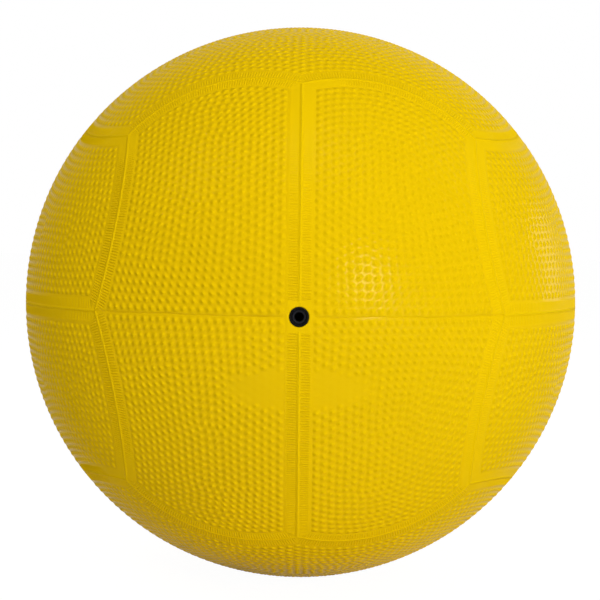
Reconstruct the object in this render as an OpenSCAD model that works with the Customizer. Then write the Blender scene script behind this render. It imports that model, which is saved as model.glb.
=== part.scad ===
// Moulded rubber dodgeball: twelve cover panels over a cushion layer, a thread
// winding and a bladder, with a replaceable needle valve. The origin is the
// centre of the ball, +Z is up and the valve faces -Y.

/* [Ball] */
// Diameter over the raised seam beads
ball_d = 190; // [150:1:240]
// Angle from the middle of a split seam to its end, seen from the ball's centre
split_seam_angle = 48.4; // [46:0.1:52]
// Bow of the other seams away from the straight line between their ends
seam_bow = 7.2; // [4:0.1:9]

/* [Cover panels] */
// Thickness of a panel in its pebbled field
panel_t = 1.3; // [0.8:0.1:3]
// Height of the plain border above the pebbled field
border_h = 0.2; // [0.1:0.05:0.6]
// Width of the border from the seam to the field
border_w = 3.1; // [2:0.1:6]
// Height of the seam bead above the border
bead_h = 0.2; // [0.1:0.05:0.5]
// Width of the seam bead over both panels
bead_w = 1; // [0.6:0.1:2]
// Gap between the edges of two panels
seam_gap = 0.1; // [0.05:0.05:0.3]

/* [Inner layers] */
// Thickness of the cushion rubber
cushion_t = 0.5; // [0.3:0.1:2]
// Thickness of the thread winding
winding_t = 0.3; // [0.2:0.1:1]
// Wall of the bladder
bladder_t = 0.6; // [0.4:0.1:1.5]
// Cement line between two layers
bond_t = 0.1; // [0.05:0.05:0.3]

/* [Valve] */
// Diameter of the valve hole through the cover and the layers
valve_hole_d = 6; // [5.2:0.1:9]
// Gap round the valve's collar in that hole
collar_gap = 0.1; // [0.05:0.05:0.3]
// Depth of the collar's rim below the panels' border
collar_recess = 0.1; // [0:0.05:0.5]
// Diameter of the valve plug
plug_d = 4.4; // [3.8:0.1:4.6]
// Length of the valve plug
plug_l = 14; // [10:0.5:20]
// Gap between the plug and its socket, on the radius
plug_fit = 0.05; // [0.02:0.01:0.1]
// Depth of the plug's face below the collar's rim
plug_recess = 0.4; // [0.1:0.1:1]
// Length of the plug's tapered nose
plug_nose_l = 2; // [1:0.5:4]
// Diameter of the plug's nose at its tip
plug_nose_d = 2.4; // [1.6:0.1:3.4]
// Diameter of the needle hole
needle_hole_d = 2.6; // [2:0.1:3]
// Depth of the needle hole
needle_hole_l = 9; // [5:0.5:12]
// Depth of the needle hole's flared mouth
needle_flare_l = 0.5; // [0.2:0.1:1]
// Diameter of the socket inside the ball
socket_d = 9; // [7:0.5:14]
// Wall left past the plug's nose at the socket's inner end
socket_end_t = 1; // [0.5:0.1:3]
// Diameter of the air hole in the socket's inner end
air_hole_d = 1.2; // [0.8:0.1:2]
// Diameter of the valve's flange
flange_d = 24; // [16:1:36]
// Thickness of the valve's flange
flange_t = 1; // [0.6:0.1:2]
// Diameter of the patch over the flange
patch_d = 42; // [38:1:60]
// Thickness of the patch over the flange
patch_t = 0.7; // [0.4:0.1:2]

/* [Hidden] */
$fn = 96;

COVER_COLOUR = [0.92, 0.77, 0.02];
CUSHION_COLOUR = [0.55, 0.45, 0.25];
THREAD_COLOUR = [0.93, 0.92, 0.88];
BLADDER_COLOUR = [0.12, 0.12, 0.13];
VALVE_COLOUR = [0.05, 0.05, 0.06];

// Radii from the outside in
ball_r = ball_d / 2;
border_r = ball_r - bead_h;
field_r = border_r - border_h;
panel_in_r = field_r - panel_t;
cushion_r = panel_in_r - bond_t;
cushion_in_r = cushion_r - cushion_t;
winding_r = cushion_in_r - bond_t;
winding_in_r = winding_r - winding_t;
bladder_r = winding_in_r - bond_t;
bladder_in_r = bladder_r - bladder_t;
flange_r = bladder_in_r - bond_t;
flange_in_r = flange_r - flange_t;
patch_in_r = flange_in_r - bond_t - patch_t;

// A cutter reaches this far, so it passes clear of the whole ball
reach = 2 * ball_r;
// A small cutter passes this far beyond the face that it cuts
cut_over = 1;

// A bead is a round rod of this radius, sunk until its crown is at ball_r
bead_r = (bead_w * bead_w / 4 + bead_h * bead_h) / (2 * bead_h);

// Stations along the valve, as distances from the ball's centre
rim_z = border_r - collar_recess;
face_z = rim_z - plug_recess;
nose_z = face_z - plug_l;
socket_bore_r = plug_d / 2 + plug_fit;
socket_floor_z = nose_z - plug_fit;
socket_end_z = socket_floor_z - socket_end_t;
collar_r = valve_hole_d / 2 - collar_gap;
needle_r = needle_hole_d / 2;
flare_h = needle_flare_l + cut_over;

X_AXIS = [1, 0, 0];
Y_AXIS = [0, 1, 0];
Z_AXIS = [0, 0, 1];

// The panel to the left of the front split seam, the others are this one turned.
// Its upper corners, as directions: the split seam's end, the cube's corner and the apex.
split_s = sin(split_seam_angle);
split_c = cos(split_seam_angle);
split_end = [0, -split_c, split_s];
cube_corner = unit([-1, -1, 1]);
apex = [-split_c, -split_s, 0];

// The planes through the centre and the ends of each seam, as normals into the panel
split_n = -X_AXIS;
side_upper_n = unit(cross(split_end, cube_corner));
side_lower_n = flip_z(side_upper_n);
apex_upper_n = unit(cross(cube_corner, apex));
apex_lower_n = flip_z(apex_upper_n);

// A bowed seam lies on a cone about the ball's centre. The side seams bow out of the
// panel, with the cone's axis on its side, and the apex seams bow into it.
half_seam = acos(split_end * cube_corner) / 2;
bow_angle = arc_angle(seam_bow);
axis_lean = atan((cos(bow_angle) - cos(half_seam)) / sin(bow_angle));
cone_angle = axis_lean + bow_angle;
side_upper_axis = cos(axis_lean) * unit(split_end + cube_corner) + sin(axis_lean) * side_upper_n;
side_lower_axis = flip_z(side_upper_axis);
apex_upper_axis = cos(axis_lean) * unit(apex + cube_corner) - sin(axis_lean) * apex_upper_n;
apex_lower_axis = flip_z(apex_upper_axis);
// A flat cut behind a bowed seam stays this far from the seam's ends
backing = 2 * border_w;

// Each panel's name, its thirds of a turn about the cube's diagonal, then its half turns
// and the axis of those
PANELS = [
    ["front_left_panel", 0, 0, X_AXIS],
    ["front_right_panel", 0, 1, Y_AXIS],
    ["back_left_panel", 0, 1, X_AXIS],
    ["back_right_panel", 0, 1, Z_AXIS],
    ["bottom_front_panel", 1, 0, X_AXIS],
    ["top_front_panel", 1, 1, Y_AXIS],
    ["top_back_panel", 1, 1, X_AXIS],
    ["bottom_back_panel", 1, 1, Z_AXIS],
    ["left_lower_panel", 2, 0, X_AXIS],
    ["right_upper_panel", 2, 1, Y_AXIS],
    ["left_upper_panel", 2, 1, X_AXIS],
    ["right_lower_panel", 2, 1, Z_AXIS],
];

function unit(v) = v / norm(v);
function flip_z(v) = [v[0], v[1], -v[2]];
// The angle at the ball's centre over a length on its surface
function arc_angle(l) = l / ball_r * 180 / PI;

// Turns +Z to the direction n
module aim(n) {
    rotate([0, acos(n[2]), atan2(n[1], n[0])]) children();
}

// Turns +Z to the valve's outward direction
module along_valve() {
    aim(-Y_AXIS) children();
}

// Everything further than inset along n from the ball's centre
module beyond(n, inset) {
    aim(n) translate([-reach, -reach, inset]) cube([2 * reach, 2 * reach, reach]);
}

module shell(r, inner_r) {
    difference() {
        sphere(r);
        sphere(inner_r);
    }
}

// A straight hole along the valve, from inside the ball to past its surface
module valve_drill(d) {
    along_valve() translate([0, 0, ball_r / 2]) cylinder(d = d, h = ball_r);
}

// A disc that follows the ball's curve round the valve
module valve_disc(d, r, inner_r) {
    intersection() {
        shell(r, inner_r);
        valve_drill(d);
    }
}

// Everything within an angle of the axis, seen from the ball's centre
module seam_cone(axis, angle) {
    aim(axis) cylinder(r1 = 0, r2 = reach * tan(angle), h = reach);
}

// The panel's side of a seam that bows out of it
module bowed_side(n, axis, inset) {
    beyond(n, backing);
    seam_cone(axis, cone_angle - arc_angle(inset));
}

// The part of space that belongs to the panel, drawn in from its seams by inset
module panel_sector(inset) {
    difference() {
        intersection() {
            beyond(split_n, inset);
            bowed_side(side_upper_n, side_upper_axis, inset);
            bowed_side(side_lower_n, side_lower_axis, inset);
        }
        seam_cone(apex_upper_axis, cone_angle + arc_angle(inset));
        seam_cone(apex_lower_axis, cone_angle + arc_angle(inset));
        intersection() {
            beyond(-apex_upper_n, backing);
            beyond(-apex_lower_n, backing);
        }
    }
}

// A bead round the axis, on the cone of the given angle
module bead_ring(axis, angle) {
    aim(axis)
        rotate_extrude()
            translate((ball_r - bead_r) * [sin(angle), cos(angle)])
                circle(r = bead_r);
}

// The bead of one bowed seam, with its ends just past the seam's ends
module bowed_bead(outward, axis) {
    intersection() {
        bead_ring(axis, cone_angle);
        beyond(outward, -bead_w);
    }
}

module panel_beads() {
    bead_ring(split_n, 90);
    bowed_bead(-side_upper_n, side_upper_axis);
    bowed_bead(-side_lower_n, side_lower_axis);
    bowed_bead(apex_upper_n, apex_upper_axis);
    bowed_bead(apex_lower_n, apex_lower_axis);
}

module plain_panel() {
    difference() {
        intersection() {
            union() {
                shell(border_r, panel_in_r);
                panel_beads();
            }
            panel_sector(seam_gap / 2);
        }
        intersection() {
            shell(ball_r, field_r);
            panel_sector(border_w);
        }
    }
}

// One cover panel in its place, with the valve hole cut where it meets the valve
module cover_panel(panel) {
    color(COVER_COLOUR)
        difference() {
            rotate(a = 180 * panel[2], v = panel[3])
                rotate(a = 120 * panel[1], v = X_AXIS + Y_AXIS + Z_AXIS)
                    plain_panel();
            valve_drill(valve_hole_d);
        }
}

// Half of the cushion layer, on the side that n points to
module cushion_half(n) {
    color(CUSHION_COLOUR)
        difference() {
            intersection() {
                shell(cushion_r, cushion_in_r);
                beyond(n, bond_t / 2);
            }
            valve_drill(valve_hole_d);
        }
}

module cushion_upper_half() {
    cushion_half(Z_AXIS);
}

module cushion_lower_half() {
    cushion_half(-Z_AXIS);
}

module thread_winding() {
    color(THREAD_COLOUR)
        difference() {
            shell(winding_r, winding_in_r);
            valve_drill(valve_hole_d);
        }
}

// Half of the bladder, on the side that n points to
module bladder_half(n) {
    color(BLADDER_COLOUR)
        difference() {
            intersection() {
                shell(bladder_r, bladder_in_r);
                beyond(n, bond_t / 2);
            }
            valve_drill(valve_hole_d);
        }
}

module bladder_front_half() {
    bladder_half(-Y_AXIS);
}

module bladder_rear_half() {
    bladder_half(Y_AXIS);
}

// A dished patch that holds the flange against the bladder
module valve_patch() {
    color(BLADDER_COLOUR)
        difference() {
            valve_disc(patch_d, flange_r, patch_in_r);
            valve_disc(flange_d + 2 * bond_t, flange_r + bond_t, flange_in_r - bond_t);
            valve_drill(socket_d + 2 * bond_t);
        }
}

// The boot's socket, flange and collar, bored for the plug and open to the air inside
module valve_boot() {
    color(VALVE_COLOUR)
        difference() {
            union() {
                valve_disc(flange_d, flange_r, flange_in_r);
                along_valve() {
                    translate([0, 0, socket_end_z])
                        cylinder(d = socket_d, h = flange_in_r - socket_end_z);
                    translate([0, 0, socket_end_z])
                        cylinder(r = collar_r, h = rim_z - socket_end_z);
                }
            }
            along_valve() {
                translate([0, 0, socket_floor_z])
                    cylinder(r = socket_bore_r, h = rim_z + cut_over - socket_floor_z);
                translate([0, 0, socket_end_z - cut_over])
                    cylinder(d = air_hole_d, h = socket_end_t + 2 * cut_over);
            }
        }
}

// The plug's outline turned round the valve's axis, with a blind needle hole
module valve_plug() {
    color(VALVE_COLOUR)
        along_valve()
            difference() {
                union() {
                    translate([0, 0, nose_z])
                        cylinder(d1 = plug_nose_d, d2 = plug_d, h = plug_nose_l);
                    translate([0, 0, nose_z + plug_nose_l])
                        cylinder(d = plug_d, h = plug_l - plug_nose_l);
                }
                translate([0, 0, face_z - needle_hole_l])
                    cylinder(r = needle_r, h = needle_hole_l + cut_over);
                translate([0, 0, face_z - needle_flare_l])
                    cylinder(r1 = needle_r, r2 = needle_r + flare_h, h = flare_h);
            }
}

for (panel = PANELS)
    cover_panel(panel);
cushion_upper_half();
cushion_lower_half();
thread_winding();
bladder_front_half();
bladder_rear_half();
valve_patch();
valve_boot();
valve_plug();
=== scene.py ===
"""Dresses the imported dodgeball: its pebbled cover, needle valve, inner layers and stage."""

import math

import bmesh
import bpy
import numpy as np
from bpy.props import FloatProperty, FloatVectorProperty, PointerProperty
from mathutils import Matrix, Vector, kdtree
from mathutils.geometry import delaunay_2d_cdt


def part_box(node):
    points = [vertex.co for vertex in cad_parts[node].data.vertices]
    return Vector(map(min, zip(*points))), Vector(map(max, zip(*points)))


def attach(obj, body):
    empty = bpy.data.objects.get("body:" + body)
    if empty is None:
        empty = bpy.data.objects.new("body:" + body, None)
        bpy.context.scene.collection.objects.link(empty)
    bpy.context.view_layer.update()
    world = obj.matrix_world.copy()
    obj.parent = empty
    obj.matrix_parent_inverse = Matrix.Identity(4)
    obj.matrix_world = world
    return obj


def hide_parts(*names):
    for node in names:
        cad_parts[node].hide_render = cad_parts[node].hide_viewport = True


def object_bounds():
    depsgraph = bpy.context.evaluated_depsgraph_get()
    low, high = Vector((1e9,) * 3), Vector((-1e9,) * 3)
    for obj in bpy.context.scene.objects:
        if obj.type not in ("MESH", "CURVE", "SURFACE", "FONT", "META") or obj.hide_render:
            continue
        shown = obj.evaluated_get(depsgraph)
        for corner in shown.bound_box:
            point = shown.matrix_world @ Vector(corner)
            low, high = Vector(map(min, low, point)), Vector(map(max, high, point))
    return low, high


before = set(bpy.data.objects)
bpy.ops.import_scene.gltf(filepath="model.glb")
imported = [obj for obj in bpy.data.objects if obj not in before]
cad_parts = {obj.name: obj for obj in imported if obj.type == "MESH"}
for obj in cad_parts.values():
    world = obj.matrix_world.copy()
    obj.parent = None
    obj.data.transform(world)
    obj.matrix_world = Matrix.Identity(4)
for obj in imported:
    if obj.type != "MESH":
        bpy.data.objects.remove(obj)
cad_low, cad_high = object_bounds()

bl_info = {
    "name": "Moulded dodgeball",
    "version": (1, 0, 0),
    "blender": (4, 5, 0),
    "location": "View3D > Sidebar > Dodgeball",
    "description": "Builds the pebbled cover, the valve and the stage of a moulded dodgeball",
    "category": "Mesh",
}

# The panels are drawn in millimetres, and scaled to metres when they are done
MM = 1000.0

# The sides of a panel in order: two side seams and two apex seams, and last the split seam
UPPER_SIDE, UPPER_APEX, LOWER_APEX, LOWER_SIDE, SPLIT = range(5)

# How each side bows: 1 out of the panel, -1 into it and 0 not at all
HANDS = (1, -1, -1, 1, 0)

# The ribs of the five sides: from and to where they lie, as fractions of the side's length, and
# how strong they are
FRONT_LEFT_RIBS = ((0, 1, 0.8), (0.24, 1, 1.1), (0, 0.76, 1.1), (0, 1, 0.8), (0, 0.45, 1.05))
FRONT_RIGHT_RIBS = ((0, 1, 0.8), (0.24, 1, 0.4), (0, 0.76, 0.4), (0, 0.7, 0.8), (0.55, 1, 1.05))
BACK_RIBS = ((0, 1, 0.8), (0.24, 1, 1), (0, 0.76, 1), (0, 1, 0.8), (0, 1, 0.9))
CAP_RIBS = ((0, 0.76, 0.8), (0, 1, 0.8), (0, 1, 0.8), (0.24, 1, 0.8), (0, 1, 0.9))
LEFT_RIBS = ((0, 0.76, 1.1), (0.24, 1, 1.1), (0, 0.76, 1.1), (0.24, 1, 1.1), (0, 1, 0.9))
RIGHT_RIBS = ((0, 0.76, 0.4), (0.24, 1, 0.4), (0, 0.76, 0.4), (0.24, 1, 0.4), (0, 1, 0.6))

# Each mould: its ribs, the sides whose seam shows as an open line, whether the mould's parting
# line crosses it, whether it has half of the valve hole, and on which side of the parting line
# the smooth patch lies
MOULDS = {
    "front_left": (FRONT_LEFT_RIBS, (SPLIT,), True, True, -1),
    "front_right": (FRONT_RIGHT_RIBS, (SPLIT,), True, True, 1),
    "back": (BACK_RIBS, (SPLIT,), True, False, 0),
    "cap": (CAP_RIBS, (UPPER_SIDE, LOWER_SIDE, SPLIT), False, False, 0),
    "left": (LEFT_RIBS, (UPPER_APEX, LOWER_APEX, SPLIT), False, False, 0),
    "right": (RIGHT_RIBS, (UPPER_APEX, LOWER_APEX, SPLIT), False, False, 0),
}

# Each panel: its name, its mould, its thirds of a turn about the cube's diagonal and the axis of
# its half turn
PANELS = (
    ("front_left", "front_left", 0, None),
    ("front_right", "front_right", 0, "Y"),
    ("back_left", "back", 0, "X"),
    ("back_right", "back", 0, "Z"),
    ("bottom_front", "cap", 1, None),
    ("top_front", "cap", 1, "Y"),
    ("top_back", "cap", 1, "X"),
    ("bottom_back", "cap", 1, "Z"),
    ("left_lower", "left", 2, None),
    ("right_upper", "right", 2, "Y"),
    ("left_upper", "left", 2, "X"),
    ("right_lower", "right", 2, "Z"),
)

# The lamps are daylight white, apart from a warmer one at the left and the warm one of the
# highlight, and stand this far from the ball's centre, in metres
LAMP_WHITE = (0.97, 1.0, 1.0)
LAMP_WARM = (1.0, 0.94, 0.82)
LAMP_SPARK = (1.0, 0.93, 0.6)
LAMP_DISTANCE = 1.2

# Each lamp: its name, its azimuth and elevation in degrees from the valve's axis, its width and
# height in metres, its colour, and whether the ball mirrors it
LAMPS = (
    ("key", 44, -6, 0.5, 0.5, LAMP_WHITE, False),
    ("front", 28, 8, 0.4, 0.4, LAMP_WHITE, False),
    ("top", 10, 62, 0.5, 0.5, LAMP_WHITE, False),
    ("left", -60, 50, 0.5, 0.5, LAMP_WARM, False),
    ("right", 95, 40, 0.5, 0.5, LAMP_WHITE, False),
    ("spark", 26, 11, 0.18, 0.26, LAMP_SPARK, True),
    ("rim", 121, 8, 0.36, 0.36, LAMP_WHITE, True),
)

# The camera's sensor in millimetres, and its shift in pixels of an image this wide
SENSOR_WIDTH = 36.0
IMAGE_WIDTH = 600
SHIFT_ACROSS = -0.57
SHIFT_UP = 2.23

# The floor: its width in metres, its white as a surface, its glow to the camera and the share of
# that glow, which leaves the ball's shadow
FLOOR_WIDTH = 12.0
FLOOR_WHITE = (0.88, 0.88, 0.88, 1)
FLOOR_GLOW = 1.08
GLOW_SHARE = 0.9

# The mirrored surround starts at this share of straight behind the ball, and is full at this one
BEHIND_STARTS = 0.55
BEHIND_FULL = 0.95

# How much further than its shape the cover's relief leans in the light
LEAN = 2.8

# The valleys' gloss and painted shade, and the height in metres above the ground where both end
VALLEY_GLOSS = 0.34
VALLEY_HEIGHT = 0.00006

# Heights that the faded pebbles of the smooth patch step through
FADE_STEPS = (0.15, 0.3, 0.5, 0.75, 1.0)

# As shares of a pebble's radius: how near its bevelled face lies to its point, and how far its
# crown lies in from its foot
FOOT_REACH = 0.75
CROWN_INSET = 0.72

# Points of a panel this close become one, in millimetres, and edges past this angle stay sharp
PANEL_WELD = 0.002
PANEL_CREASE = math.radians(50)

# The same for the turned pieces of the valve, in metres, and the steps of their full turn
TURNED_WELD = 0.000004
TURNED_CREASE = math.radians(35)
TURNED_STEPS = 64


def setting(kind, **use):
    """Makes settings of one sort, each from its name, its description and its default."""

    def made(name, description, default):
        return kind(name=name, description=description, default=default, **use)

    return made


def degrees(name, description, default):
    """A setting in degrees."""
    return setting(FloatProperty, subtype="ANGLE")(name, description, math.radians(default))


metres = setting(FloatProperty, unit="LENGTH")
millimetres = setting(FloatProperty, unit="CAMERA")
watts = setting(FloatProperty, unit="POWER")
factor = setting(FloatProperty, subtype="FACTOR")
rgb = setting(FloatVectorProperty, subtype="COLOR")


class CoverSizes(bpy.types.PropertyGroup):
    """Sizes of the cover panels' relief"""

    ball_radius: metres(
        "Ball radius", "Radius over the crowns of the seam beads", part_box("top_front_panel")[1].z
    )
    ground_depth: metres(
        "Ground depth", "Depth of the ground between the pebbles below the bead crowns", 0.00026
    )
    wall_depth: metres("Wall depth", "Depth of a panel's inner face below the bead crowns", 0.0017)
    split_angle: degrees(
        "Split seam angle", "Angle from the middle of a split seam to its end", 48.4
    )
    seam_bow: metres(
        "Seam bow", "Bow of the other seams away from the straight line between their ends", 0.0072
    )
    bead_width: metres("Bead width", "Width of a seam bead over both panels", 0.00125)
    bead_height: metres("Bead height", "Height of a seam bead above the border", 0.00008)
    border_width: metres("Border width", "Width of the border from the seam to its edge", 0.0035)
    border_height: metres("Border height", "Height of the border above the ground", 0.00004)
    rib_pitch: metres("Rib pitch", "Distance between two ribs of the border", 0.00083)
    rib_height: metres("Rib height", "Height of a rib from trough to crest", 0.00015)
    pebble_pitch: metres("Pebble pitch", "Distance between two pebbles", 0.00272)
    pebble_radius: metres("Pebble radius", "Radius of a pebble at its foot", 0.0012)
    pebble_height: metres("Pebble height", "Height of a pebble above the ground", 0.0002)
    first_row: metres("First row", "Distance of the first row of pebbles from the seam", 0.0055)
    parting_row: metres(
        "Parting row", "Distance of the first row of pebbles from the parting line", 0.00175
    )
    parting_depth: metres(
        "Parting line depth", "Depth of the groove along the mould's parting line", 0.00009
    )
    hole_radius: metres("Valve hole radius", "Radius of the hole for the valve's collar", 0.00293)
    pad_radius: metres("Valve pad radius", "Radius of the smooth pad round the valve", 0.0043)


class Finishes(bpy.types.PropertyGroup):
    """Colours of the rubber and of the layers inside"""

    cover: rgb("Cover", "Yellow of the cover rubber", (0.875, 0.58, 0.0008))
    # Painted shade: this deeper yellow darkens the valleys between the pebbles, where less light
    # falls
    cover_shade: rgb("Cover shade", "Deeper yellow between the pebbles", (0.845, 0.545, 0.0004))
    valve: rgb("Valve", "Black of the valve's rubber", (0.005, 0.005, 0.006))
    plug: rgb("Plug", "Dark grey of the plug's face", (0.011, 0.011, 0.016))
    cushion: rgb("Cushion", "Tan of the cushion rubber", (0.30, 0.20, 0.08))
    thread: rgb("Thread", "White of the wound thread", (0.85, 0.84, 0.78))
    bladder: rgb("Bladder", "Black of the bladder", (0.015, 0.015, 0.017))


class StageSizes(bpy.types.PropertyGroup):
    """The camera, the lamps and the floor"""

    camera_distance: metres(
        "Camera distance", "Distance of the camera from the ball's centre", 0.579
    )
    camera_height: degrees("Camera elevation", "Angle of the camera above the valve's axis", 2.632)
    camera_yaw: degrees(
        "Camera yaw", "Angle of the camera to the right of the valve's axis", -0.242
    )
    camera_roll: degrees("Camera roll", "Roll of the camera", 0.629)
    focal_length: millimetres("Focal length", "Focal length of the camera in millimetres", 99.27)
    key_power: watts("Key light", "Power of the wide soft light at the right", 3.45)
    top_power: watts("Top light", "Power of the wide soft light above", 1.85)
    left_power: watts("Left light", "Power of the wide soft light at the upper left", 3.4)
    right_power: watts("Right light", "Power of the wide soft light at the upper right", 2.6)
    front_power: watts("Front light", "Power of the soft light at the front right", 3.9)
    spark_power: watts(
        "Spark light", "Power of the light that makes the highlight beside the valve", 1.3
    )
    rim_power: watts("Rim light", "Power of the light behind the ball at the far right", 0.65)
    surround: factor("Surround", "Strength of the white surround as a light", 0.24)
    mirrored_surround: factor(
        "Mirrored surround", "Strength in reflections of the white surround behind the ball", 0.7
    )


class Signal:
    """A node's output in an expression: an operator on it adds the Math node that it stands for."""

    def __init__(self, tree, socket=None):
        self.tree = tree
        self.socket = socket

    def node(self, kind, settings=None, inputs=None, output=0):
        """Adds a node of any type: first its settings, then the values or links of its inputs."""
        made = self.tree.nodes.new(kind)
        for name, value in (settings or {}).items():
            setattr(made, name, value)
        for name, value in (inputs or {}).items():
            if isinstance(value, Signal):
                self.tree.links.new(value.socket, made.inputs[name])
            else:
                made.inputs[name].default_value = value
        return Signal(self.tree, made.outputs[output] if len(made.outputs) else None)

    def maths(self, operation, first, second):
        return self.node("ShaderNodeMath", {"operation": operation}, {0: first, 1: second})

    def between(self, low, high):
        """The colour that lies this far from one colour to another."""
        return self.node(
            "ShaderNodeMix",
            {"data_type": "RGBA", "clamp_factor": True},
            {0: self, 6: (*low, 1), 7: (*high, 1)},
            2,
        )

    def noise(self, scale, detail, roughness=0.5):
        """A noise texture at this place."""
        inputs = {"Vector": self, "Scale": scale, "Detail": detail, "Roughness": roughness}
        return self.node("ShaderNodeTexNoise", {}, inputs)

    def __add__(self, other):
        return self.maths("ADD", self, other)

    def __radd__(self, other):
        return self.maths("ADD", other, self)

    def __sub__(self, other):
        return self.maths("SUBTRACT", self, other)

    def __rsub__(self, other):
        return self.maths("SUBTRACT", other, self)

    def __mul__(self, other):
        return self.maths("MULTIPLY", self, other)

    def __rmul__(self, other):
        return self.maths("MULTIPLY", other, self)


def smooth(low, high, value):
    """0 below low, 1 above high and an even curve between."""
    t = np.clip((value - low) / (high - low), 0, 1)
    return t * t * (3 - 2 * t)


def unit(v):
    v = np.asarray(v, float)
    return v / np.linalg.norm(v)


def units(rows):
    """The unit vectors of rows of vectors."""
    return rows / np.linalg.norm(rows, axis=1)[:, None]


def meeting_point(first, second, near):
    """The direction where two circles cross, of the two crossings the one on the side of near."""
    axis1, level1 = first
    axis2, level2 = second
    lean = axis1 @ axis2
    a = np.asarray((level1 - level2 * lean) / (1 - lean * lean))
    b = np.asarray((level2 - level1 * lean) / (1 - lean * lean))
    flat = a[..., None] * axis1 + b[..., None] * axis2
    rise = unit(np.cross(axis1, axis2))
    rise = rise * np.sign(rise @ near)
    height = np.sqrt(np.maximum(0, 1 - (flat * flat).sum(axis=-1)))
    return flat + height[..., None] * rise


class Seam:
    """One side of a panel: an arc about an axis between two corners, with the panel on its left.

    The axis is a direction from the ball's centre, and hand is 1 where it points to the panel's
    side of the seam and -1 where it points to the other side."""

    def __init__(self, start, end, axis, angle, hand, radius):
        self.start = start
        self.end = end
        self.axis = axis
        self.angle = angle
        self.hand = hand
        self.radius = radius
        self.ring = radius * math.sin(angle)
        self.first = unit(start - axis * (axis @ start))
        self.second = hand * np.cross(axis, self.first)
        self.length = self.place(end)[0]

    def level(self, u):
        """The circle at a distance u into the panel: its axis and the cosine of its angle."""
        return self.axis, np.cos(self.angle - self.hand * u / self.radius)

    def place(self, directions):
        """Distances along the seam and into the panel."""
        s = self.ring * np.arctan2(directions @ self.second, directions @ self.first)
        tilt = np.arccos(np.clip(directions @ self.axis, -1, 1))
        return s, self.hand * self.radius * (self.angle - tilt)

    def directions(self, s, u):
        """Unit vectors of the points at distance s along the seam and u into the panel."""
        turn = (s / self.ring)[..., None]
        tilt = (self.angle - self.hand * u / self.radius)[..., None]
        outward = np.cos(turn) * self.first + np.sin(turn) * self.second
        return np.cos(tilt) * self.axis + np.sin(tilt) * outward

    def limits(self, u):
        """Where the neighbouring sides begin, at distances u into the panel."""
        low = meeting_point(self.before.level(u), self.level(u), self.start)
        high = meeting_point(self.level(u), self.after.level(u), self.end)
        return self.place(low)[0], self.place(high)[0]


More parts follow.
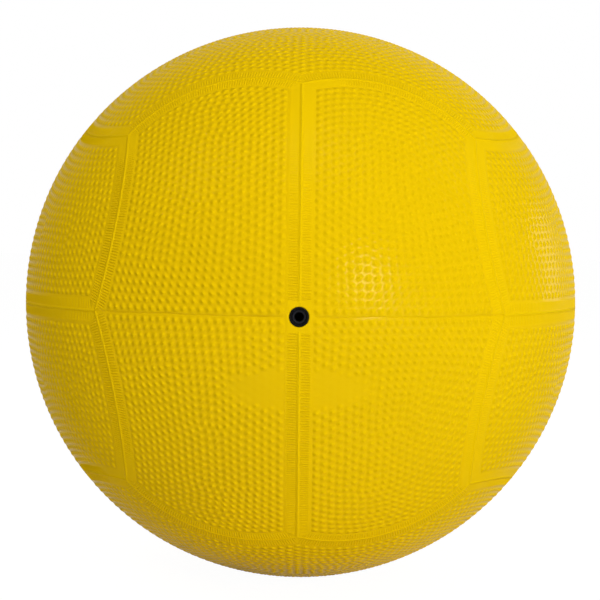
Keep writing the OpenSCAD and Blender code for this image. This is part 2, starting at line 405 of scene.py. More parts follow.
class PanelPlan:
    """Lays out the points of one cover panel in millimetres, in the place of the front left one."""

    # The sizes of the cover that the plan takes over in millimetres
    LENGTHS = [name for name in CoverSizes.__annotations__ if name != "split_angle"]
    # Rows of points across a border, and the first row along an open seam, which starts and is
    # full at these distances from the seam's ends
    ROWS = (0.006, 0.2, 0.38, 0.56, 0.85, 3.15, 3.4, 3.6, 3.9)
    OPEN_GAP = 0.02
    OPEN_STARTS, OPEN_FULL = 5, 8
    # A border runs this far past its seam's ends before it is cut at the corners
    END = 10.0
    # A bead is flat over this share of its half width
    BEAD_FLAT = 0.2
    # A border starts to fall this far before its edge, and ends this far past it
    BORDER_FALL, BORDER_FOOT = 0.4, 1.0
    # Ribs rise between these distances from the seam, end this far before the border's edge, and
    # fade out over these lengths
    RIB_STARTS, RIB_FULL, RIB_END = 0.5, 0.8, 0.3
    RIB_FADE, SPLIT_FADE = 9.0, 80.0
    # Round the valve: the pad's edge, the rounded lip's depth and width, and the bead's fading
    PAD_EDGE = 0.45
    LIP_DEPTH, LIP_WIDTH = 0.2, 0.25
    BEAD_STARTS, BEAD_FULL = -0.2, 0.8
    # The fan of cross lines round the valve
    VALVE_ZONE = 5.2
    APPROACH_STEPS = 13
    FAN_STEPS = 40
    FAN_REACH = 4.6
    FAN_ANGLE = math.radians(50)
    # Points lie this far from the seam between the border and the pebbles
    MARGIN = 4.25
    # Rings of pebbles reach this deep
    INNERMOST = 40.0
    # As shares of the pebbles' pitch: how far a ring may stray outwards, how near two pebbles may
    # lie before they settle, and how far they push each other, in steps from the first to the last
    RING_SLACK = 0.25
    LEAST_GAP = 0.74
    PUSH_REACH = 1.5
    FIRST_STEP, LAST_STEP = 0.35, 0.1
    # Half of the smooth patch's width and height, its distance from the parting line, and the
    # shares of its size between which the pebbles fade
    PATCH_WIDTH, PATCH_HEIGHT, PATCH_PLACE = 23.5, 6.8, 21.7
    PATCH_INNER, PATCH_OUTER = 0.7, 1.15
    # The parting line's half width, the pitch of its points and their distance from its ends
    GROOVE_HALF = 0.22
    GROOVE_PITCH = 0.9
    GROOVE_END = 0.7
    # Its two waves: their height, length and phase
    GROOVE_WAVES = ((0.1, 5.3, 0), (0.07, 2.1, 1))
    # Where it gapes beside the valve: from where to where, over what length, and how much deeper
    GAPE_FROM, GAPE_TO, GAPE_FADE = 7, 17, 3
    GAPE_DEEPER = 0.7
    # Pitch of the points of the inner face, and their steps to each side
    CAP_PITCH = 8.0
    CAP_STEPS = 12

    def __init__(self, sizes, ribs, open_sides, parting, valve, patch):
        for name in self.LENGTHS:
            setattr(self, name, getattr(sizes, name) * MM)
        self.ribs = ribs
        self.open_sides = open_sides
        self.parting = parting
        self.valve = valve
        self.patch = patch
        self.crown_r = self.ball_radius
        self.ground_r = self.crown_r - self.ground_depth
        self.inner_r = self.crown_r - self.wall_depth
        s, c = math.sin(sizes.split_angle), math.cos(sizes.split_angle)
        corners = [(0, -c, s), (-1, -1, 1), (-c, -s, 0), (-1, -1, -1), (0, -c, -s)]
        self.corners = [unit(v) for v in corners]
        self.middle = unit(sum(self.corners))
        self.seams = []
        for i in range(5):
            self.add_seam(self.corners[i], self.corners[(i + 1) % 5], HANDS[i])
        for i, seam in enumerate(self.seams):
            seam.before = self.seams[i - 1]
            seam.after = self.seams[(i + 1) % 5]

    def add_seam(self, start, end, hand):
        """Adds a seam that bows out of the panel, into it, or not at all, as hand is 1, -1 or 0."""
        inward = unit(np.cross(start, end))
        if hand == 0:
            self.seams.append(Seam(start, end, inward, math.pi / 2, 1, self.crown_r))
            return
        bow = self.seam_bow / self.crown_r
        half = math.acos(start @ end) / 2
        lean = math.atan((math.cos(bow) - math.cos(half)) / math.sin(bow))
        axis = math.cos(lean) * unit(start + end) + hand * math.sin(lean) * inward
        self.seams.append(Seam(start, end, axis, lean + bow, hand, self.crown_r))

    def rib_strength(self, side, s):
        low, high, most = self.ribs[side]
        length = self.seams[side].length
        fade = self.SPLIT_FADE if side == SPLIT else self.RIB_FADE
        strength = np.full_like(s, most)
        if low > 0:
            strength = strength * smooth(low * length - fade, low * length, s)
        if high < 1:
            strength = strength * (1 - smooth(high * length, high * length + fade, s))
        return strength

    def border_relief(self, side, s, u):
        """Height above the ground of the bead, the border, its ribs and the pad round the valve."""
        half_bead = self.bead_width / 2
        edge = self.border_width
        bead = self.bead_height * (1 - smooth(self.BEAD_FLAT * half_bead, half_bead, u))
        fall = smooth(edge - self.BORDER_FALL, edge + self.BORDER_FOOT, u)
        border = self.border_height * (1 - fall)
        wave = np.cos(2 * np.pi * s / self.rib_pitch)
        across = smooth(self.RIB_STARTS, self.RIB_FULL, u)
        across = across * (1 - smooth(edge - self.RIB_END, edge, u))
        low, high = self.seams[side].limits(u)
        across = across * smooth(0, 1, np.minimum(s - low, high - s))
        ribs = self.rib_height / 2 * wave * across * self.rib_strength(side, s)
        if self.valve and side == SPLIT:
            pad_r = self.pad_radius
            from_valve = s - self.seams[SPLIT].length / 2
            r = np.hypot(from_valve, u)
            pad = self.border_height * (1 - smooth(pad_r - self.PAD_EDGE, pad_r, r))
            lip = self.LIP_DEPTH * np.clip(1 - (r - self.hole_radius) / self.LIP_WIDTH, 0, 1) ** 2
            bead = bead * smooth(pad_r + self.BEAD_STARTS, pad_r + self.BEAD_FULL, r)
            ribs = ribs * smooth(self.FAN_REACH, self.VALVE_ZONE, np.abs(from_valve))
            return np.maximum(border, pad) + bead + ribs - lip
        return bead + border + ribs

    def columns(self, side):
        """The two ends of each cross line of a border, as distances along and into the panel."""
        length = self.seams[side].length
        quarters = np.arange(0, int(length / self.rib_pitch * 4) + 1) * self.rib_pitch / 4
        ribbed = self.rib_strength(side, quarters) > 0.01
        on_pitch = np.arange(len(quarters)) % 4 == 0
        s = quarters[ribbed | on_pitch]
        first = np.full_like(s, self.ROWS[0])
        if side in self.open_sides:
            opening = smooth(self.OPEN_STARTS, self.OPEN_FULL, np.minimum(s, length - s))
            first += (self.OPEN_GAP - self.ROWS[0]) * opening
        last = np.full_like(s, self.ROWS[-1])
        ends = np.stack([s, first, s, last], axis=1)
        if self.valve and side == SPLIT:
            middle = length / 2
            before = ends[s < middle - self.VALVE_ZONE]
            past = ends[s > middle + self.VALVE_ZONE]
            fan = self.valve_fan()
            fan[:, [0, 2]] += middle
            ends = np.concatenate([before, fan, past])
        caps = [[[s, self.ROWS[0], s, self.ROWS[-1]]] for s in (-self.END, length + self.END)]
        return np.concatenate([caps[0], ends, caps[1]])

    def valve_fan(self):
        """Cross lines that spread round the valve hole, from below it to above it."""
        hole_r = self.hole_radius
        first, last = self.ROWS[0], self.ROWS[-1]
        straight = np.linspace(-self.VALVE_ZONE, -hole_r, self.APPROACH_STEPS + 1)[:-1]
        outer = np.interp(
            straight, [-self.VALVE_ZONE, -hole_r], [-self.VALVE_ZONE, -self.FAN_REACH]
        )
        approach = np.stack(
            [straight, np.full_like(straight, first), outer, np.full_like(straight, last)], axis=1
        )
        angle = np.linspace(np.pi, 0, self.FAN_STEPS + 1)
        near = np.stack([hole_r * np.cos(angle), np.maximum(hole_r * np.sin(angle), first)], axis=1)
        reach = np.maximum(last / np.maximum(np.sin(angle), 1e-6), self.pad_radius)
        knee = last / math.tan(self.FAN_ANGLE)
        bends = [0, self.FAN_ANGLE, np.pi - self.FAN_ANGLE, np.pi]
        along = np.interp(angle, bends, [self.FAN_REACH, knee, -knee, -self.FAN_REACH])
        flat = (angle > np.pi - self.FAN_ANGLE) | (angle < self.FAN_ANGLE)
        far_s = np.where(flat, along, reach * np.cos(angle))
        far_u = np.where(flat, last, reach * np.sin(angle))
        round_hole = np.concatenate([near, np.stack([far_s, far_u], axis=1)], axis=1)
        leave = approach[::-1] * [-1, 1, -1, 1]
        return np.concatenate([approach, round_hole, leave])

    def border(self):
        """Points and faces of the five borders, with the loops along the seam and the field."""
        points, faces, seam_loop, field_loop = [], [], [], []
        shares = (np.array(self.ROWS) - self.ROWS[0]) / (self.ROWS[-1] - self.ROWS[0])
        start = 0
        for side, seam in enumerate(self.seams):
            ends = self.columns(side)
            s = ends[:, None, 0] + shares * (ends[:, None, 2] - ends[:, None, 0])
            u = ends[:, None, 1] + shares * (ends[:, None, 3] - ends[:, None, 1])
            s = np.clip(s, *seam.limits(u))
            aim = seam.directions(s, u)
            r = self.ground_r + self.border_relief(side, s, u)
            if self.parting and side in (UPPER_APEX, LOWER_APEX):
                groove = np.clip(1 - np.abs(aim[..., 2]) * self.crown_r / self.GROOVE_HALF, 0, 1)
                r = r - self.parting_depth * groove
            grid = aim * r[..., None]
            columns, rows = s.shape
            index = start + np.arange(columns * rows).reshape(columns, rows)
            quads = np.stack(
                [index[:-1, :-1], index[1:, :-1], index[1:, 1:], index[:-1, 1:]], axis=-1
            )
            faces.extend(quads.reshape(-1, 4).tolist())
            points.append(grid.reshape(-1, 3))
            seam_loop.append(grid[:, 0])
            field_loop.append(grid[:, -1])
            start += columns * rows
        return np.concatenate(points), faces, distinct(seam_loop), distinct(field_loop)

    def on_plane(self, points):
        """Stereographic map about the panel's middle, which keeps the shapes of small triangles."""
        up = unit(np.cross(self.middle, [1, 0, 0]))
        right = np.cross(up, self.middle)
        d = units(points)
        scale = 2 * self.ground_r / (1 + d @ self.middle)
        return np.stack([d @ right * scale, d @ up * scale], axis=1)

    def regions(self):
        """The stretches of pebbles: each of their sides, its first row and the corner before it."""
        row = self.first_row
        sides = [(seam, row, seam.start) for seam in self.seams]
        if not self.parting:
            return [sides]
        gap = self.parting_row
        front, apex = np.array([0.0, -1.0, 0.0]), self.corners[2]
        up = np.array([0.0, 0.0, 1.0])
        above = (Seam(apex, front, up, math.pi / 2, 1, self.crown_r), gap, apex)
        below = (Seam(front, apex, -up, math.pi / 2, 1, self.crown_r), gap, front)
        split = (self.seams[SPLIT], row, front)
        upper = [split, (self.seams[UPPER_SIDE], row, self.corners[0]), sides[UPPER_APEX], above]
        lower = [below, sides[LOWER_APEX], sides[LOWER_SIDE], sides[SPLIT]]
        return [upper, lower]

    def depth(self, region, spots):
        """How far spots lie past the first rows of a region's sides."""
        least = np.full(len(spots), np.inf)
        for seam, row, _ in region:
            depth = seam.place(spots)[1]
            if seam in (self.seams[UPPER_SIDE], self.seams[LOWER_SIDE]):
                chord = self.crown_r * np.arcsin(spots @ unit(np.cross(seam.start, seam.end)))
                depth = np.maximum(depth, chord)
            least = np.minimum(least, depth - row)
        return least

    def pebble_ring(self, region, depth):
        """A closed chain of pebbles along a region's sides, at a depth past their first rows."""
        levels = [seam.level(row + depth) for seam, row, _ in region]
        bends = [meeting_point(levels[i - 1], levels[i], region[i][2]) for i in range(len(region))]
        chain = []
        for i, (axis, level) in enumerate(levels):
            a = bends[i] - level * axis
            b = bends[(i + 1) % len(bends)] - level * axis
            turn = math.atan2(np.cross(a, b) @ axis, a @ b)
            steps = max(1, round(abs(turn) * np.linalg.norm(a) * self.ground_r / self.pebble_pitch))
            angle = np.arange(steps)[:, None] / steps * turn
            chain.append(np.cos(angle) * a + np.sin(angle) * np.cross(axis, a) + level * axis)
        return np.concatenate(chain)

    def pebbles(self):
        """Centres of the pebbles: rings along the edges, the inner ones settled evenly."""
        pitch = self.pebble_pitch
        row_gap = pitch * math.sqrt(3) / 2
        fixed, free = [], []
        for region in self.regions():
            fixed.append(self.pebble_ring(region, 0))
            placed = fixed[-1]
            for depth in np.arange(row_gap, self.INNERMOST, row_gap):
                ring = self.pebble_ring(region, depth)
                for spot in ring[self.depth(region, ring) > depth - self.RING_SLACK * pitch]:
                    gap = np.linalg.norm(placed - spot, axis=1).min() * self.ground_r
                    if gap > self.LEAST_GAP * pitch:
                        placed = np.concatenate([placed, [spot]])
            free.append(placed[len(fixed[-1]) :])
        fixed = np.concatenate(fixed) * self.ground_r
        free = np.concatenate(free) * self.ground_r
        return np.concatenate([fixed, self.settled(fixed, free)])

    def settled(self, fixed, free):
        """Lets the free pebbles push each other apart until they lie evenly."""
        pitch = self.pebble_pitch
        reach = self.PUSH_REACH * pitch
        rounds, relist, near_count = 160, 8, 16
        for turn in range(rounds):
            everyone = np.concatenate([fixed, free])
            if turn % relist == 0:
                likeness = free @ everyone.T
                order = np.argpartition(-likeness, near_count, axis=1)[:, : near_count + 1]
            gap = free[:, None] - everyone[order]
            length = np.linalg.norm(gap, axis=2)
            push = np.clip(1 - length / reach, 0, 1) ** 2
            push = np.where(length > 1e-6, push / np.maximum(length, 1e-6), 0)
            step = (gap * push[..., None]).sum(axis=1)
            slower = (self.FIRST_STEP - self.LAST_STEP) * turn / rounds
            free = free + step * pitch * (self.FIRST_STEP - slower)
            free = units(free) * self.ground_r
        return free

    def pebble_share(self, spots):
        """Height of each pebble, which is less on the smooth patch beside the valve."""
        if not self.patch:
            return np.ones(len(spots))
        x = self.crown_r * np.arctan2(spots[:, 0], -spots[:, 1])
        z = self.crown_r * np.arcsin(spots[:, 2] / np.linalg.norm(spots, axis=1))
        up = z - self.patch * self.PATCH_PLACE
        far = np.hypot(x / self.PATCH_WIDTH, up / self.PATCH_HEIGHT)
        return smooth(self.PATCH_INNER, self.PATCH_OUTER, far)

    def parting_points(self):
        """Three lines of points along the parting line: the groove between its two edges."""
        reach = self.pad_radius if self.valve else self.ROWS[-1]
        apex = self.crown_r * math.acos(-self.corners[2][1])
        last = apex - self.MARGIN - self.GROOVE_END
        along = np.arange(reach + self.GROOVE_END, last, self.GROOVE_PITCH)
        wave = sum(high * np.sin(along / long + late) for high, long, late in self.GROOVE_WAVES)
        gape = smooth(self.GAPE_FROM, self.GAPE_FROM + self.GAPE_FADE, along)
        gape = gape * (1 - smooth(self.GAPE_TO - self.GAPE_FADE, self.GAPE_TO, along))
        depth = self.parting_depth * (1 + self.GAPE_DEEPER * gape * (self.patch < 0))
        lines = []
        for offset, share in ((-self.GROOVE_HALF, 0), (0, 1), (self.GROOVE_HALF, 0)):
            angle = along / self.crown_r
            rise = (wave + offset) / self.crown_r
            spots = units(np.stack([-np.sin(angle), -np.cos(angle), rise], axis=1))
            lines.append(spots * (self.ground_r - share * depth)[:, None])
        return lines

    def margin_points(self):
        """A ring of points between the border and the first row of pebbles."""
        ring = []
        for seam in self.seams:
            s = np.arange(0, seam.length, self.pebble_pitch / 2)
            u = np.full_like(s, self.MARGIN)
            ring.append(seam.directions(np.clip(s, *seam.limits(u)), u) * self.ground_r)
        ring = distinct(ring)
        if self.valve:
            hub = np.array([0, -self.ground_r, 0])
            ring = ring[np.linalg.norm(ring - hub, axis=1) > self.VALVE_ZONE]
        return ring

    def field(self, field_loop):
        """The net of the field: its points, its triangles and which points are pebbles."""
        loop = field_loop[::2]
        pebbles = self.pebbles()
        margin = self.margin_points()
        spots = [loop, pebbles, margin]
        edges = []
        if self.parting:
            start = len(loop) + len(pebbles) + len(margin)
            for line in self.parting_points():
                spots.append(line)
                edges.extend((start + i, start + i + 1) for i in range(len(line) - 1))
                start += len(line)
        spots = np.concatenate(spots)
        net = net_within(self.on_plane(spots), edges, len(loop))
        return spots, net, range(len(loop), len(loop) + len(pebbles))

    def lining(self, seam_loop):
        """The side walls and the inner face that close the panel."""
        inner = units(seam_loop) * self.inner_r
        count = len(inner)
        walls = [(i, (i + 1) % count, count + (i + 1) % count, count + i) for i in range(count)]
        steps = np.arange(-self.CAP_STEPS, self.CAP_STEPS + 1) * self.CAP_PITCH
        across, up = np.meshgrid(steps, steps)
        tangent = unit(np.cross(self.middle, [0, 0, 1]))
        rise = np.cross(self.middle, tangent)
        spread = across.ravel()[:, None] * tangent + up.ravel()[:, None] * rise
        spots = units(self.middle * self.inner_r + spread) * self.inner_r
        outline = [(seam, 0, seam.start) for seam in self.seams]
        spots = spots[self.depth(outline, spots / self.inner_r) > self.CAP_PITCH / 2]
        both = np.concatenate([inner, spots])
        net = net_within(self.on_plane(both), [], count)
        cap = [[count + i for i in reversed(face)] for face in net]
        return np.concatenate([seam_loop, both]), walls + cap


def net_within(flat, edges, count):
    """Triangles between flat points, inside the outline that the first count points run round."""
    ring = [(i, (i + 1) % count) for i in range(count)]
    made = delaunay_2d_cdt([Vector(p) for p in flat], edges + ring, [], 1, 1e-6, True)
    source = np.array([ids[0] for ids in made[3]])
    net = source[np.array(made[2])]
    middle = flat[net].mean(axis=1)[:, None]
    start = flat[:count]
    end = np.roll(start, -1, axis=0)
    spans = (start[:, 1] > middle[..., 1]) != (end[:, 1] > middle[..., 1])
    rise = np.where(end[:, 1] == start[:, 1], 1, end[:, 1] - start[:, 1])
    reach = start[:, 0] + (middle[..., 1] - start[:, 1]) * (end[:, 0] - start[:, 0]) / rise
    crossed = (spans & (middle[..., 0] < reach)).sum(axis=1)
    return net[crossed % 2 == 1].tolist()


def distinct(parts):
    """One closed loop from several runs of points, without the points that repeat."""
    run = np.concatenate(parts)
    gap = np.linalg.norm(run - np.roll(run, 1, axis=0), axis=1)
    return run[gap > 1e-4]


def new_mesh_object(name, points, faces):
    mesh = bpy.data.meshes.new(name)
    mesh.from_pydata(np.asarray(points).tolist(), [], faces)
    piece = bpy.data.objects.new(name, mesh)
    bpy.context.scene.collection.objects.link(piece)
    return piece


def only(piece):
    """Selects one object alone and makes it the active one."""
    if bpy.context.mode != "OBJECT":
        bpy.ops.object.mode_set(mode="OBJECT")
    bpy.ops.object.select_all(action="DESELECT")
    piece.select_set(True)
    bpy.context.view_layer.objects.active = piece


def search_tree(points):
    """Finds the nearest of some points."""
    tree = kdtree.KDTree(len(points))
    for i, point in enumerate(points):
        tree.insert(point, i)
    tree.balance()
    return tree


def raise_pebbles(piece, plan, centres):
    """Turns each pebble point into a dome: bevelled to a foot, inset to a crown and subdivided."""
    only(piece)
    bpy.ops.object.mode_set(mode="EDIT")
    bpy.ops.mesh.select_mode(type="VERT")
    bpy.ops.mesh.select_all(action="DESELECT")
    net = bmesh.from_edit_mesh(piece.data)
    net.verts.ensure_lookup_table()
    spots = search_tree([net.verts[i].co for i in centres])
    for i in centres:
        net.verts[i].select_set(True)
    net.select_flush_mode()
    bmesh.update_edit_mesh(piece.data)
    foot = plan.pebble_radius
    bpy.ops.mesh.bevel(offset_type="OFFSET", offset=foot, segments=1, affect="VERTICES")
    bpy.ops.mesh.select_mode(type="FACE")
    net = bmesh.from_edit_mesh(piece.data)
    fade = net.faces.layers.int.new("fade")
    feet = [f for f in net.faces if spots.find(f.calc_center_median())[2] < FOOT_REACH * foot]
    if len(feet) != len(centres):
        raise RuntimeError("some pebbles were lost in the bevel")
    share = plan.pebble_share(np.array([f.calc_center_median() for f in feet]))
    steps = np.abs(share[:, None] - np.array(FADE_STEPS)).argmin(axis=1) + 1
    for face, step in zip(feet, steps):
        face[fade] = step
    for step in sorted(set(steps)):
        height = FADE_STEPS[step - 1]
        net = bmesh.from_edit_mesh(piece.data)
        fade = net.faces.layers.int["fade"]
        for face in net.faces:
            face.select_set(face[fade] == step)
        bmesh.update_edit_mesh(piece.data)
        bpy.ops.mesh.inset(
            thickness=foot * CROWN_INSET, depth=plan.pebble_height * height, use_individual=True
        )
    bpy.ops.object.mode_set(mode="OBJECT")
    bpy.ops.object.modifier_add(type="SUBSURF")
    rounding = piece.modifiers[-1]
    rounding.levels = 1
    rounding.render_levels = 1
    rounding.use_limit_surface = False
    bpy.ops.object.modifier_apply(modifier=rounding.name)


def snap_edge(piece, loop):
    """Moves the field's edge points onto the points of the border's loop."""
    tree = search_tree(loop)
    net = bmesh.new()
    net.from_mesh(piece.data)
    for v in net.verts:
        if v.is_boundary:
            v.co = tree.find(v.co)[0]
    net.to_mesh(piece.data)
    net.free()


def mould_panel(name, sizes):
    """One closed panel in millimetres, in the place of the front left one."""
    plan = PanelPlan(sizes, *MOULDS[name])
    points, faces, seam_loop, field_loop = plan.border()
    border = new_mesh_object(name + "_border", points, faces)
    spots, triangles, centres = plan.field(field_loop)
    field = new_mesh_object(name + "_field", spots, triangles)
    raise_pebbles(field, plan, centres)
    snap_edge(field, field_loop)
    lining = new_mesh_object(name + "_lining", *plan.lining(seam_loop))
    only(border)
    field.select_set(True)
    lining.select_set(True)
    bpy.ops.object.join()
    bpy.ops.object.mode_set(mode="EDIT")
    bpy.ops.mesh.select_all(action="SELECT")
    bpy.ops.mesh.remove_doubles(threshold=PANEL_WELD)
    bpy.ops.mesh.fill_holes(sides=0)
    bpy.ops.mesh.select_all(action="SELECT")
    bpy.ops.mesh.normals_make_consistent(inside=False)
    bpy.ops.object.mode_set(mode="OBJECT")
    border.data.transform(Matrix.Scale(1 / MM, 4))
    bpy.ops.object.shade_smooth_by_angle(angle=PANEL_CREASE)
    return border


def set_material(piece, material):
    piece.data.materials.clear()
    piece.data.materials.append(material)


def new_material(name):
    """An empty material and the start of its expressions."""
    material = bpy.data.materials.new(name)
    material.use_nodes = True
    material.node_tree.nodes.clear()
    return material, Signal(material.node_tree)


def close_material(root, bump, inputs):
    """Ends a material in one surface shader, with a bump on its normal."""
    normal = root.node("ShaderNodeBump", {}, bump)
    surface = root.node("ShaderNodeBsdfPrincipled", {}, {**inputs, "Normal": normal})
    root.node("ShaderNodeOutputMaterial", {}, {"Surface": surface})


def crisper(root, place):
    """The surface's normal, leaned further away from the ball's own so that low relief shows."""
    outward = root.node("ShaderNodeVectorMath", {"operation": "NORMALIZE"}, {0: place})
    across = root.node(
        "ShaderNodeVectorTransform",
        {"vector_type": "NORMAL", "convert_from": "OBJECT", "convert_to": "WORLD"},
        {"Vector": outward},
    )
    facing = root.node("ShaderNodeNewGeometry", output="Normal")
    lean = root.node("ShaderNodeVectorMath", {"operation": "SUBTRACT"}, {0: facing, 1: across})
    further = root.node(
        "ShaderNodeVectorMath", {"operation": "MULTIPLY_ADD"}, {0: lean, 1: (LEAN,) * 3, 2: facing}
    )
    return root.node("ShaderNodeVectorMath", {"operation": "NORMALIZE"}, {0: further})


def rubber_yellow(sizes, colours):
    """Moulded rubber, glossy between the pebbles and matt on their crowns, with painted shade
    deepening the yellow between them.
    """
    material, root = new_material("cover_rubber")
    place = root.node("ShaderNodeTexCoord", output="Object")
    radius = root.node("ShaderNodeVectorMath", {"operation": "LENGTH"}, {0: place}, "Value")
    ground = sizes.ball_radius - sizes.ground_depth
    relief = root.node(
        "ShaderNodeMapRange",
        {"interpolation_type": "SMOOTHSTEP"},
        {"Value": radius, "From Min": ground, "From Max": ground + VALLEY_HEIGHT},
    )
    clouds = place.noise(28.0, 4.0, 0.6)
    grain = place.noise(2600.0, 3.0, 0.6)
    # Painted shade mixed with a random mottle: the yellow deepens towards the ground between the
    # pebbles
    painted_shade_and_mottle = relief * 0.7 + clouds * 0.3
    colour = painted_shade_and_mottle.between(colours.cover_shade, colours.cover)
    bump = {
        "Strength": 0.35,
        "Distance": 0.00004,
        "Height": grain,
        "Normal": crisper(root, place),
    }
    inputs = {
        "Base Color": colour,
        "Roughness": 0.5 + relief * 0.15 + grain * 0.06,
        "Coat Weight": (1 - relief) * VALLEY_GLOSS,
        "Specular IOR Level": 0.02,
        "Coat Roughness": 0.11,
        "Coat IOR": 1.5,
    }
    close_material(root, bump, inputs)
    return material


def matt_rubber(name, colour, paler, roughness):
    """Plain rubber with a slight bloom and a fine grain."""
    material, root = new_material(name)
    place = root.node("ShaderNodeTexCoord", output="Object")
    bloom = place.noise(220.0, 5.0)
    grain = place.noise(4000.0, 2.0)
    tint = bloom.between(colour, [c * paler for c in colour])
    roughness = roughness + bloom * 0.15
    bump = {"Strength": 0.25, "Distance": 0.00003, "Height": grain}
    inputs = {"Base Color": tint, "Roughness": roughness, "Specular IOR Level": 0.3}
    close_material(root, bump, inputs)
    return material


def wound_thread(colour):
    """Layers of thread that cross in three directions."""
    material, root = new_material("wound_thread")
    place = root.node("ShaderNodeTexCoord", output="Object")
    strands = None
    for turn in ((0.3, 0.2, 0.0), (1.2, 0.4, 0.7), (0.5, 1.3, 1.9)):
        turned = root.node("ShaderNodeMapping", {}, {"Vector": place, "Rotation": turn})
        wave = root.node(
            "ShaderNodeTexWave", {}, {"Vector": turned, "Scale": 320.0, "Distortion": 1.5}, 1
        )
        strands = wave if strands is None else root.maths("MAXIMUM", strands, wave)
    tint = strands.between([c * 0.55 for c in colour], colour)
    bump = {"Strength": 0.6, "Distance": 0.0002, "Height": strands}
    close_material(root, bump, {"Base Color": tint, "Roughness": 0.7})
    return material


def turned_piece(name, profile, closed):
    """A round piece about the valve's axis, spun from a ring of points set to its outline.

    The outline is in millimetres: each point's radius and its distance from the ball's centre."""
    bpy.ops.object.select_all(action="DESELECT")
    bpy.ops.mesh.primitive_circle_add(vertices=len(profile), radius=0.01)
    piece = bpy.context.object
    piece.name = name
    piece.data.name = name
    bpy.ops.object.mode_set(mode="EDIT")
    ring = bmesh.from_edit_mesh(piece.data)
    ring.verts.ensure_lookup_table()
    order = [ring.verts[i] for i in range(len(profile))]
    for vertex, (r, z) in zip(order, profile):
        vertex.co = (r / MM, -z / MM, 0)
    if not closed:
        last = ring.edges.get((order[0], order[-1]))
        ring.edges.remove(last)
    bmesh.update_edit_mesh(piece.data)
    bpy.ops.mesh.select_all(action="SELECT")
    bpy.ops.mesh.spin(steps=TURNED_STEPS, angle=2 * math.pi, center=(0, 0, 0), axis=(0, 1, 0))
    bpy.ops.mesh.select_all(action="SELECT")
    bpy.ops.mesh.remove_doubles(threshold=TURNED_WELD)
    bpy.ops.mesh.normals_make_consistent(inside=False)
    bpy.ops.object.mode_set(mode="OBJECT")
    bpy.ops.object.shade_smooth_by_angle(angle=TURNED_CREASE)
    return piece


def half_turn(axis):
    return Matrix.Rotation(math.pi, 4, axis) if axis else Matrix.Identity(4)


class DODGEBALL_OT_cover(bpy.types.Operator):
    """Moulds the twelve cover panels with their beads, ribbed borders and pebbles"""

    bl_idname = "dodgeball.cover"
    bl_label = "Cover panels"

    def execute(self, context):
        sizes = context.scene.dodgeball_cover
        material = rubber_yellow(sizes, context.scene.dodgeball_finishes)
        moulds = {name: mould_panel(name, sizes) for name in MOULDS}
        diagonal = Vector((1, 1, 1))
        for name, mould, thirds, axis in PANELS:
            mesh = moulds[mould].data.copy()
            mesh.name = name + "_cover"
            mesh.transform(half_turn(axis) @ Matrix.Rotation(thirds * 2 * math.pi / 3, 4, diagonal))
            piece = bpy.data.objects.new(name + "_cover", mesh)
            context.scene.collection.objects.link(piece)
            set_material(piece, material)
            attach(piece, "ball")
            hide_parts(name + "_panel")
        for mould in moulds.values():
            bpy.data.objects.remove(mould)
        return {"FINISHED"}


class DODGEBALL_OT_boot(bpy.types.Operator):
    """Turns the valve's boot: collar, flange and socket with a rounded rim"""

    bl_idname = "dodgeball.boot"
    bl_label = "Valve boot"

    def execute(self, context):
        outer, inner = 91.5, 90.5
        top = [(r, math.sqrt(outer**2 - r**2)) for r in (2.98, 5.0, 7.5, 10.0, 11.6)]
        under = [(r, math.sqrt(inner**2 - r**2)) for r in (11.7, 10.0, 7.5, 5.4, 4.6)]
        rim = [(2.25, 94.45), (2.28, 94.6), (2.38, 94.68), (2.6, 94.7)]
        rim += [(2.76, 94.68), (2.86, 94.6), (2.9, 94.45)]
        edge = [(11.92, outer - 0.95), (12.0, inner - 0.4)]
        socket = [(4.5, 90.0), (4.5, 79.7), (4.37, 79.37), (4.05, 79.25)]
        bore = [(0.8, 79.25), (0.6, 79.45), (0.6, 80.25), (2.1, 80.25), (2.25, 80.45)]
        profile = rim + [(2.9, 91.6)] + top + edge + under + socket + bore
        piece = turned_piece("valve_boot_turned", profile, True)
        colours = context.scene.dodgeball_finishes
        set_material(piece, matt_rubber("valve_rubber", colours.valve, 2.2, 0.38))
        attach(piece, "ball")
        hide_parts("valve_boot")
        return {"FINISHED"}


class DODGEBALL_OT_plug(bpy.types.Operator):
    """Turns the valve's plug with its flared needle hole"""

    bl_idname = "dodgeball.plug"
    bl_label = "Valve plug"

    def execute(self, context):
        hole = [(0, 85.3), (0.9, 85.32), (1.2, 85.5), (1.3, 85.9), (1.3, 93.7)]
        flare = [(1.34, 93.92), (1.46, 94.14)]
        face = [(1.62, 94.26), (1.8, 94.3), (2.0, 94.27), (2.14, 94.17), (2.2, 94.0)]
        nose = [(2.2, 82.5), (2.12, 82.2), (1.38, 80.7), (1.2, 80.42), (0.95, 80.3), (0, 80.3)]
        piece = turned_piece("valve_plug_turned", hole + flare + face + nose, False)
        colours = context.scene.dodgeball_finishes
        set_material(piece, matt_rubber("plug_rubber", colours.plug, 1.8, 0.42))
        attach(piece, "plug")
        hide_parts("valve_plug")
        return {"FINISHED"}


class DODGEBALL_OT_layers(bpy.types.Operator):
    """Gives the layers inside the cover their finishes"""

    bl_idname = "dodgeball.layers"
    bl_label = "Inner layers"

    def execute(self, context):
        colours = context.scene.dodgeball_finishes
        cushion = matt_rubber("cushion_rubber", colours.cushion, 1.3, 0.7)
        bladder = matt_rubber("bladder_rubber", colours.bladder, 2.0, 0.6)
        finish = {
            "cushion_upper_half": cushion,
            "cushion_lower_half": cushion,
            "thread_winding": wound_thread(colours.thread),
            "bladder_front_half": bladder,
            "bladder_rear_half": bladder,
            "valve_patch": bladder,
        }
        for node, material in finish.items():
            set_material(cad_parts[node], material)
        return {"FINISHED"}


def aimed_at_ball(place):
    """A matrix at a place that looks at the ball's centre."""
    turn = (-Vector(place)).to_track_quat("-Z", "Y")
    return Matrix.Translation(place) @ turn.to_matrix().to_4x4()


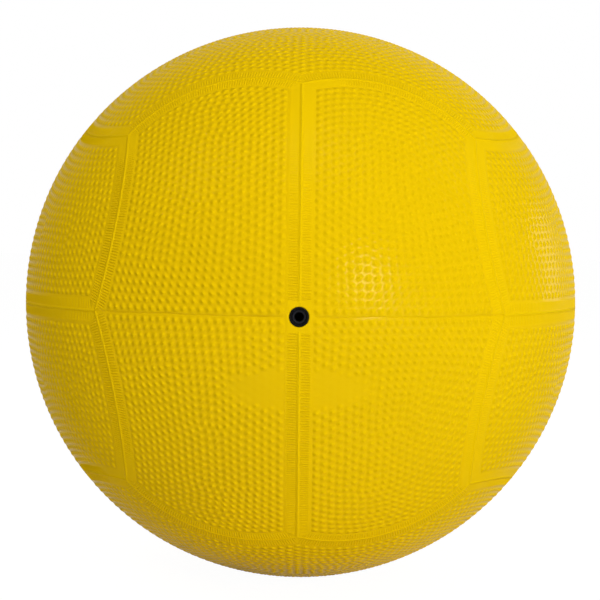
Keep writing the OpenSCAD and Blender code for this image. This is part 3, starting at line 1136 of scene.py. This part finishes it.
def add_area_light(name, azimuth, elevation, size, colour, power):
    """A rectangular soft light that faces the ball, at angles in degrees from the valve's axis."""
    a, e = math.radians(azimuth), math.radians(elevation)
    aim = Vector((math.sin(a) * math.cos(e), -math.cos(a) * math.cos(e), math.sin(e)))
    lamp = bpy.data.lights.new(name, "AREA")
    lamp.shape = "RECTANGLE"
    lamp.size, lamp.size_y = size
    lamp.energy = power
    lamp.color = colour
    holder = bpy.data.objects.new(name, lamp)
    holder.matrix_world = aimed_at_ball(LAMP_DISTANCE * aim)
    bpy.context.scene.collection.objects.link(holder)
    return holder


class DODGEBALL_OT_stage(bpy.types.Operator):
    """Sets up the camera, the soft lights, the white surround and the floor"""

    bl_idname = "dodgeball.stage"
    bl_label = "Stage"

    def execute(self, context):
        scene = context.scene
        stage = scene.dodgeball_stage
        scene.view_settings.view_transform = "Standard"
        self.add_camera(scene, stage)
        self.add_floor()
        self.add_surround(scene, stage)
        for name, azimuth, elevation, width, height, colour, mirrored in LAMPS:
            power = getattr(stage, name + "_power")
            size = (width, height)
            holder = add_area_light(name + "_light", azimuth, elevation, size, colour, power)
            holder.visible_glossy = mirrored
        return {"FINISHED"}

    def add_camera(self, scene, stage):
        lens = bpy.data.cameras.new("camera")
        lens.sensor_fit = "HORIZONTAL"
        lens.sensor_width = SENSOR_WIDTH
        lens.lens = stage.focal_length
        lens.shift_x = SHIFT_ACROSS / IMAGE_WIDTH
        lens.shift_y = SHIFT_UP / IMAGE_WIDTH
        lens.clip_start = 0.01
        holder = bpy.data.objects.new("camera", lens)
        to_view = (
            Matrix.Rotation(stage.camera_roll, 4, "Y")
            @ Matrix.Rotation(stage.camera_height, 4, "X")
            @ Matrix.Rotation(stage.camera_yaw, 4, "Z")
        )
        away = Matrix.Translation((0, -stage.camera_distance, 0))
        holder.matrix_world = to_view.transposed() @ away @ Matrix.Rotation(math.pi / 2, 4, "X")
        scene.collection.objects.link(holder)
        scene.camera = holder

    def add_floor(self):
        bpy.ops.object.select_all(action="DESELECT")
        bpy.ops.mesh.primitive_plane_add(size=FLOOR_WIDTH, location=(0, 0, cad_low.z))
        floor = bpy.context.object
        floor.name = "floor"
        material, root = new_material("floor_white")
        matt = root.node("ShaderNodeBsdfDiffuse", {}, {"Color": FLOOR_WHITE})
        glow = root.node("ShaderNodeEmission", {}, {"Color": (1, 1, 1, 1), "Strength": FLOOR_GLOW})
        seen = root.node("ShaderNodeLightPath", output="Is Camera Ray")
        mixed = root.node("ShaderNodeMixShader", {}, {0: seen * GLOW_SHARE, 1: matt, 2: glow})
        root.node("ShaderNodeOutputMaterial", {}, {"Surface": mixed})
        set_material(floor, material)
        floor.visible_glossy = False

    def add_surround(self, scene, stage):
        world = bpy.data.worlds.new("white_surround")
        world.use_nodes = True
        world.node_tree.nodes.clear()
        scene.world = world
        root = Signal(world.node_tree)
        seen = root.node("ShaderNodeLightPath", output="Is Camera Ray")
        mirrored = root.node("ShaderNodeLightPath", output="Is Glossy Ray")
        aim = root.node("ShaderNodeTexCoord", output="Generated")
        ahead = root.node("ShaderNodeSeparateXYZ", {}, {"Vector": aim}, "Y")
        behind = root.node(
            "ShaderNodeMapRange",
            {},
            {"Value": ahead, "From Min": BEHIND_STARTS, "From Max": BEHIND_FULL},
        )
        strength = (
            stage.surround
            + seen * (1 - stage.surround)
            + mirrored * (behind * stage.mirrored_surround - stage.surround)
        )
        sky = root.node("ShaderNodeBackground", {}, {"Color": (1, 1, 1, 1), "Strength": strength})
        root.node("ShaderNodeOutputWorld", {}, {"Surface": sky})


class DODGEBALL_PT_builder(bpy.types.Panel):
    """Lists the steps that build the ball"""

    bl_idname = "DODGEBALL_PT_builder"
    bl_label = "Dodgeball"
    bl_space_type = "VIEW_3D"
    bl_region_type = "UI"
    bl_category = "Dodgeball"

    def draw(self, context):
        for step in STEPS:
            self.layout.operator(step.bl_idname)
        scene = context.scene
        for group in (scene.dodgeball_cover, scene.dodgeball_finishes, scene.dodgeball_stage):
            for name in group.bl_rna.properties.keys():
                if name not in ("rna_type", "name"):
                    self.layout.prop(group, name)


STEPS = (
    DODGEBALL_OT_cover,
    DODGEBALL_OT_boot,
    DODGEBALL_OT_plug,
    DODGEBALL_OT_layers,
    DODGEBALL_OT_stage,
)
CLASSES = (CoverSizes, Finishes, StageSizes) + STEPS + (DODGEBALL_PT_builder,)


def register():
    for item in CLASSES:
        bpy.utils.register_class(item)
    bpy.types.Scene.dodgeball_cover = PointerProperty(type=CoverSizes)
    bpy.types.Scene.dodgeball_finishes = PointerProperty(type=Finishes)
    bpy.types.Scene.dodgeball_stage = PointerProperty(type=StageSizes)


def unregister():
    del bpy.types.Scene.dodgeball_stage
    del bpy.types.Scene.dodgeball_finishes
    del bpy.types.Scene.dodgeball_cover
    for item in reversed(CLASSES):
        bpy.utils.unregister_class(item)


def main():
    register()
    bpy.ops.dodgeball.cover()
    bpy.ops.dodgeball.boot()
    bpy.ops.dodgeball.plug()
    bpy.ops.dodgeball.layers()
    bpy.ops.dodgeball.stage()


if __name__ == "__main__":
    main()
